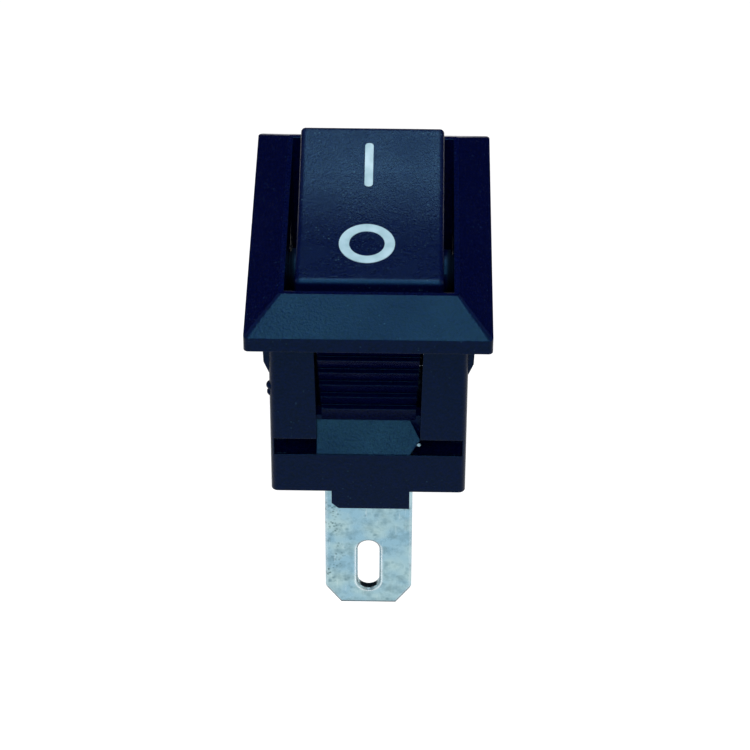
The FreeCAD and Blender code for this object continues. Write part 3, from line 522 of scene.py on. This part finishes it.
paleLook = {
    "tooth": 7000.0,
    "cloud": 1500.0,
    "stainRange": (0.35, 0.65),
    "bump": 0.15,
    "bumpDepth": 0.01 * mm,
}

nylonLook = {
    **paleLook,
    "colour": (0.78, 0.76, 0.69, 1.0),
    "stain": (0.66, 0.62, 0.54, 1.0),
    "roughness": (0.38, 0.5),
}

printLook = {
    **paleLook,
    "colour": (0.33, 0.50, 0.59, 1.0),
    "stain": (0.24, 0.40, 0.47, 1.0),
    "roughness": (0.45, 0.6),
}

paleGlintLook = {
    **paleLook,
    "colour": (0.42, 0.62, 0.72, 1.0),
    "stain": (0.20, 0.36, 0.46, 1.0),
    "roughness": (0.4, 0.6),
}


def paleMaterial(name, look):
    material, tree, shader = newMaterial(name)
    grain = useGroup(tree, "grain", {"Tooth": look["tooth"], "Cloud": look["cloud"]})
    stained = rangeNode(tree, grain.outputs["Gloss"], *look["stainRange"])
    tree.links.new(mixColour(tree, stained, look["colour"], look["stain"]),
                   shader.inputs["Base Color"])
    tree.links.new(glossNode(tree, grain, look), shader.inputs["Roughness"])
    tree.links.new(bumpNode(tree, grain.outputs["Height"], look), shader.inputs["Normal"])
    return material


materials = {
    "moulding": plasticMaterial("satinMoulding", housingLook),
    "rocker": plasticMaterial("rockerMoulding", rockerLook),
    "plated_strip": plateMaterial("platedStrip", plateLook),
    "copper_strip": metalMaterial("bronzeStrip", bronzeLook),
    "contact_silver": metalMaterial("contactSilver", silverLook),
    "plunger": paleMaterial("nylonPin", nylonLook),
    "spring": metalMaterial("springSteel", steelLook),
    "print": paleMaterial("signPrint", printLook),
    "paleGlint": paleMaterial("paleGlintMoulding", paleGlintLook),
}
materialOf = {
    "housing": "moulding",
    "base": "moulding",
    "rocker": "rocker",
    "load_terminal": "plated_strip",
    "common_terminal": "plated_strip",
    "contact_arm": "copper_strip",
    "moving_contact": "contact_silver",
    "fixed_contact": "contact_silver",
    "plunger": "plunger",
    "plunger_spring": "spring",
}
for nodeName, obj in nodes.items():
    dress(obj, materials[materialOf[nodeName]])
print("materials set on the parts")


# the two signs: thin print that follows the rocker's face

restTilt = math.radians(10.5)  # the rocker's O end is down at rest
hinge = next(joint for joint in frame["joints"] if joint["name"] == "rocker_hinge")
tiltedFrame = Matrix.Translation(Vector(hinge["pos_m"])) @ Matrix.Rotation(restTilt, 4, "X")

signs = {
    "barWidth": 0.365 * mm,
    "barLength": 2.42 * mm,
    "barPlace": (-0.125 * mm, 2.43 * mm),
    "barRound": 0.16 * mm,
    "barSteps": 6,
    "ringWidth": 2.40 * mm,
    "ringLength": 2.43 * mm,
    "ringLine": 0.44 * mm,
    "ringPlace": (-0.135 * mm, -2.22 * mm),
    "ringPoints": 72,
    "above": 6.0 * mm,  # drawn above the rocker, then laid down on it
    "thickness": 0.03 * mm,
    "bodyShare": 1.6,  # the print's body goes a little into the rocker
}


def layOnRocker(obj, name):
    obj.matrix_world = tiltedFrame
    wrap = obj.modifiers.new("lay", "SHRINKWRAP")
    wrap.target = nodes["rocker"]
    wrap.wrap_method = "PROJECT"
    wrap.use_project_z = True
    wrap.use_negative_direction = True
    wrap.use_positive_direction = False
    wrap.offset = signs["thickness"]
    applyModifiers(obj)
    settle(obj, name)
    body = obj.modifiers.new("body", "SOLIDIFY")
    body.thickness = signs["thickness"] * signs["bodyShare"]
    body.offset = -1.0
    applyModifiers(obj)
    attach(obj, "rocker")
    dress(obj, materials["print"])
    return obj


def signBar():
    deselectAll()
    bpy.ops.mesh.primitive_plane_add(size=1.0, location=(0.0, 0.0, 0.0))
    bar = bpy.context.object
    bpy.ops.object.mode_set(mode="EDIT")
    bpy.ops.mesh.select_all(action="SELECT")
    bpy.ops.transform.resize(value=(signs["barWidth"], signs["barLength"], 1.0))
    bpy.ops.mesh.bevel(offset=signs["barRound"], segments=signs["barSteps"], affect="VERTICES")
    bpy.ops.mesh.select_all(action="SELECT")
    bpy.ops.transform.translate(value=(*signs["barPlace"], signs["above"]))
    bpy.ops.mesh.bisect(plane_co=(*signs["barPlace"], 0.0), plane_no=(0.0, 1.0, 0.0))
    bpy.ops.object.mode_set(mode="OBJECT")
    return layOnRocker(bar, "signBar")


def signRing():
    deselectAll()
    bpy.ops.mesh.primitive_circle_add(vertices=signs["ringPoints"], radius=0.5, fill_type="NGON",
                                      location=(0.0, 0.0, 0.0))
    ring = bpy.context.object
    bpy.ops.object.mode_set(mode="EDIT")
    bpy.ops.mesh.select_all(action="SELECT")
    bpy.ops.transform.resize(value=(signs["ringWidth"], signs["ringLength"], 1.0))
    bpy.ops.mesh.inset(thickness=signs["ringLine"])
    bpy.ops.mesh.delete(type="FACE")
    bpy.ops.mesh.select_all(action="SELECT")
    bpy.ops.transform.translate(value=(*signs["ringPlace"], signs["above"]))
    bpy.ops.object.mode_set(mode="OBJECT")
    return layOnRocker(ring, "signRing")


signBar()
signRing()
print("signs laid on the rocker")


# the coil behind the plunger: round wire wound as a fixed coil that moves with the plunger

coil = {
    "radius": 0.59 * mm,
    "wire": 0.20 * mm,
    "wirePoints": 10,
    "foot": 0.02 * mm,
    "head": 1.68 * mm,
    "turns": 5,
    "turnSteps": 20,
    "stroke": 0.25 * mm,
    "smooth": 50.0,
}


def coilSpring():
    deselectAll()
    bpy.ops.mesh.primitive_circle_add(vertices=coil["wirePoints"], radius=coil["wire"] / 2,
                                      fill_type="NOTHING",
                                      location=(coil["radius"], 0.0, coil["foot"]),
                                      rotation=(math.pi / 2, 0.0, 0.0))
    spring = bpy.context.object
    bpy.ops.object.transform_apply(location=True, rotation=True, scale=True)
    wind = spring.modifiers.new("wind", "SCREW")
    wind.axis = "Z"
    wind.iterations = coil["turns"]
    wind.screw_offset = (coil["head"] - coil["foot"]) / coil["turns"]
    wind.steps = coil["turnSteps"]
    wind.render_steps = coil["turnSteps"]
    applyModifiers(spring)
    bpy.ops.object.mode_set(mode="EDIT")
    bpy.ops.mesh.select_all(action="SELECT")
    bpy.ops.mesh.fill_holes(sides=0)
    bpy.ops.mesh.normals_make_consistent(inside=False)
    bpy.ops.object.mode_set(mode="OBJECT")
    bpy.ops.object.shade_smooth_by_angle(angle=math.radians(coil["smooth"]))
    spring.matrix_world = tiltedFrame
    settle(spring, "coilSpring")
    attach(spring, "plunger")
    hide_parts("plunger_spring")
    dress(spring, materials["spring"])
    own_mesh(spring)
    return spring


coilSpring()
print("coil wound")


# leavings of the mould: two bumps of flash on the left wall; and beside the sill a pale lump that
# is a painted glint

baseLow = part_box("base")[0]
leavings = {
    "flashUpper": {"place": (baseLow.x, -6.30 * mm, -2.76 * mm),
                   "size": (0.20 * mm, 0.34 * mm, 0.30 * mm),
                   "seed": 4, "slot": "moulding", "look": "moulding"},
    "flashLower": {"place": (baseLow.x, -6.28 * mm, -3.14 * mm),
                   "size": (0.15 * mm, 0.28 * mm, 0.26 * mm),
                   "seed": 9, "slot": "moulding", "look": "moulding"},
    # a tiny pale lump, painted in as a glint on the sill's corner
    "sillGlint": {"place": (2.18 * mm, -6.50 * mm, -5.87 * mm),
                 "size": (0.13 * mm, 0.11 * mm, 0.09 * mm),
                 "seed": 2, "slot": "moulding", "look": "paleGlint"},
}
lumpShape = {
    "outerEnd": -0.9,  # faces whose normal points this far to -X
    "pinch": (1.0, 0.55, 0.6),
    "cuts": 2,
    "puff": 0.8,
    "unevenness": 0.02 * mm,
}


def leaving(name, settings):
    # a small block, pinched at its outer end, then subdivided and roughened
    deselectAll()
    bpy.ops.mesh.primitive_cube_add(size=1.0, location=(0.0, 0.0, 0.0))
    lump = bpy.context.object
    bpy.ops.object.mode_set(mode="EDIT")
    bpy.ops.mesh.select_all(action="SELECT")
    bpy.ops.transform.resize(value=settings["size"])
    pickFaces(lump, lambda centre, normal: normal.x < lumpShape["outerEnd"])
    bpy.ops.transform.resize(value=lumpShape["pinch"])
    bpy.ops.mesh.select_all(action="SELECT")
    bpy.ops.mesh.subdivide(number_cuts=lumpShape["cuts"], smoothness=lumpShape["puff"])
    bpy.ops.transform.vertex_random(offset=lumpShape["unevenness"], uniform=0.0, normal=0.0,
                                    seed=settings["seed"])
    bpy.ops.transform.translate(value=settings["place"])
    bpy.ops.object.mode_set(mode="OBJECT")
    bpy.ops.object.shade_smooth()
    settle(lump, name)
    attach(lump, "body")
    dress(lump, materials[settings["look"]])
    return lump


for leavingName, settings in leavings.items():
    leaving(leavingName, settings)
print("leavings of the mould added:", len(leavings))


# studio: white surround, pale floor, black cards and two soft lamps

surroundLight = {
    "level": (0.22, 0.22, 0.22, 1.0),
    "seen": (1.0, 1.0, 1.0, 1.0),
}


def seenDirectly(tree):
    # 1 for rays from the camera and for rays that metal, gloss or glass sends out
    path = tree.nodes.new("ShaderNodeLightPath")
    both = mathNode(tree, "ADD", path.outputs["Is Camera Ray"], path.outputs["Is Glossy Ray"])
    return mathNode(tree, "ADD", both, path.outputs["Is Transmission Ray"], clamp=True)


def surround():
    world = bpy.data.worlds.new("surround")
    bpy.context.scene.world = world
    world.use_nodes = True
    tree = world.node_tree
    background = next(n for n in tree.nodes if n.type == "BACKGROUND")
    shade = mixColour(tree, seenDirectly(tree), surroundLight["level"], surroundLight["seen"])
    tree.links.new(shade, background.inputs["Color"])
    background.inputs["Strength"].default_value = 1.0


paleFloor = {
    "drop": 70.0 * mm,
    "size": 2.4,
    "colour": (0.82, 0.82, 0.82, 1.0),
    "roughness": 0.9,
    "level": 0.1,
    "lift": 0.45,  # brings the floor up to white where it is seen
}


def floor():
    deselectAll()
    bpy.ops.mesh.primitive_plane_add(size=paleFloor["size"],
                                     location=(0.0, 0.0, -paleFloor["drop"]))
    sheet = bpy.context.object
    sheet.name = "floor"
    material, tree, shader = newMaterial("paleFloor")
    shader.inputs["Base Color"].default_value = paleFloor["colour"]
    shader.inputs["Roughness"].default_value = paleFloor["roughness"]
    shader.inputs["Specular IOR Level"].default_value = paleFloor["level"]
    shader.inputs["Emission Strength"].default_value = 1.0
    lift = mathNode(tree, "MULTIPLY", seenDirectly(tree), paleFloor["lift"])
    tree.links.new(lift, shader.inputs["Emission Color"])
    dress(sheet, material)


# the long bevels and the low half of the rocker mirror the cards

cardColour = (0.02, 0.02, 0.025, 1.0)
blackCards = {
    "cardLeft": {"place": (-0.13, 0.16, 0.03), "size": (0.20, 0.16)},
    "cardRight": {"place": (0.13, 0.16, 0.03), "size": (0.20, 0.16)},
    "cardBack": {"place": (0.0, 0.22, 0.155), "size": (0.40, 0.20)},
}


def cards():
    material, tree, shader = newMaterial("blackCard")
    shader.inputs["Base Color"].default_value = cardColour
    shader.inputs["Roughness"].default_value = 1.0
    shader.inputs["Specular IOR Level"].default_value = 0.0
    for name, settings in blackCards.items():
        deselectAll()
        bpy.ops.mesh.primitive_plane_add(size=1.0, location=settings["place"])
        card = bpy.context.object
        card.name = name
        card.scale = (*settings["size"], 1.0)
        card.rotation_mode = "QUATERNION"
        card.rotation_quaternion = Vector(settings["place"]).to_track_quat("Z", "Y")
        card.visible_camera = False
        dress(card, material)


# soft panels: the overhead one points straight down, the front one at the switch

lamps = {
    "overhead": {"place": (0.0, -0.01, 0.30), "size": (0.055, 0.34), "level": 15.0,
                 "aimed": False},
    "front": {"place": (0.0, -0.235, 0.195), "size": (0.055, 0.12), "level": 17.5,
              "aimed": True},
}


def lamp(name, settings):
    width, depth = settings["size"]
    light = bpy.data.lights.new(name, "AREA")
    light.shape = "RECTANGLE"
    light.size = width
    light.size_y = depth
    light.energy = settings["level"] * math.pi * width * depth
    holder = bpy.data.objects.new(name, light)
    holder.location = settings["place"]
    holder.rotation_mode = "QUATERNION"
    if settings["aimed"]:
        holder.rotation_quaternion = Vector(settings["place"]).to_track_quat("Z", "Y")
    bpy.context.scene.collection.objects.link(holder)


view = {
    "azimuth": 0.78,
    "elevation": 39.1,
    "roll": 0.22,
    "distance": 145.3 * mm,
    "target": (0.19 * mm, 0.0, -7.28 * mm),
    "focalPixels": 3213.0,
    "pictureWidth": 750.0,
    "sensor": 36.0,
    "clip": (1.0 * mm, 10.0),
}


def camera():
    azimuth, elevation = math.radians(view["azimuth"]), math.radians(view["elevation"])
    back = Vector((math.sin(azimuth) * math.cos(elevation),
                   -math.cos(azimuth) * math.cos(elevation),
                   math.sin(elevation)))
    data = bpy.data.cameras.new("camera")
    data.sensor_width = view["sensor"]
    data.lens = view["focalPixels"] / view["pictureWidth"] * view["sensor"]
    data.clip_start, data.clip_end = view["clip"]
    holder = bpy.data.objects.new("camera", data)
    place = Matrix.Translation(Vector(view["target"]) + back * view["distance"])
    turn = (-back).to_track_quat("-Z", "Y").to_matrix().to_4x4()
    roll = Matrix.Rotation(math.radians(view["roll"]), 4, "Z")
    holder.matrix_world = place @ turn @ roll
    bpy.context.scene.collection.objects.link(holder)
    bpy.context.scene.camera = holder


surround()
floor()
cards()
for lampName, settings in lamps.items():
    lamp(lampName, settings)
camera()
bpy.context.scene.view_settings.view_transform = "Standard"
print("studio set")
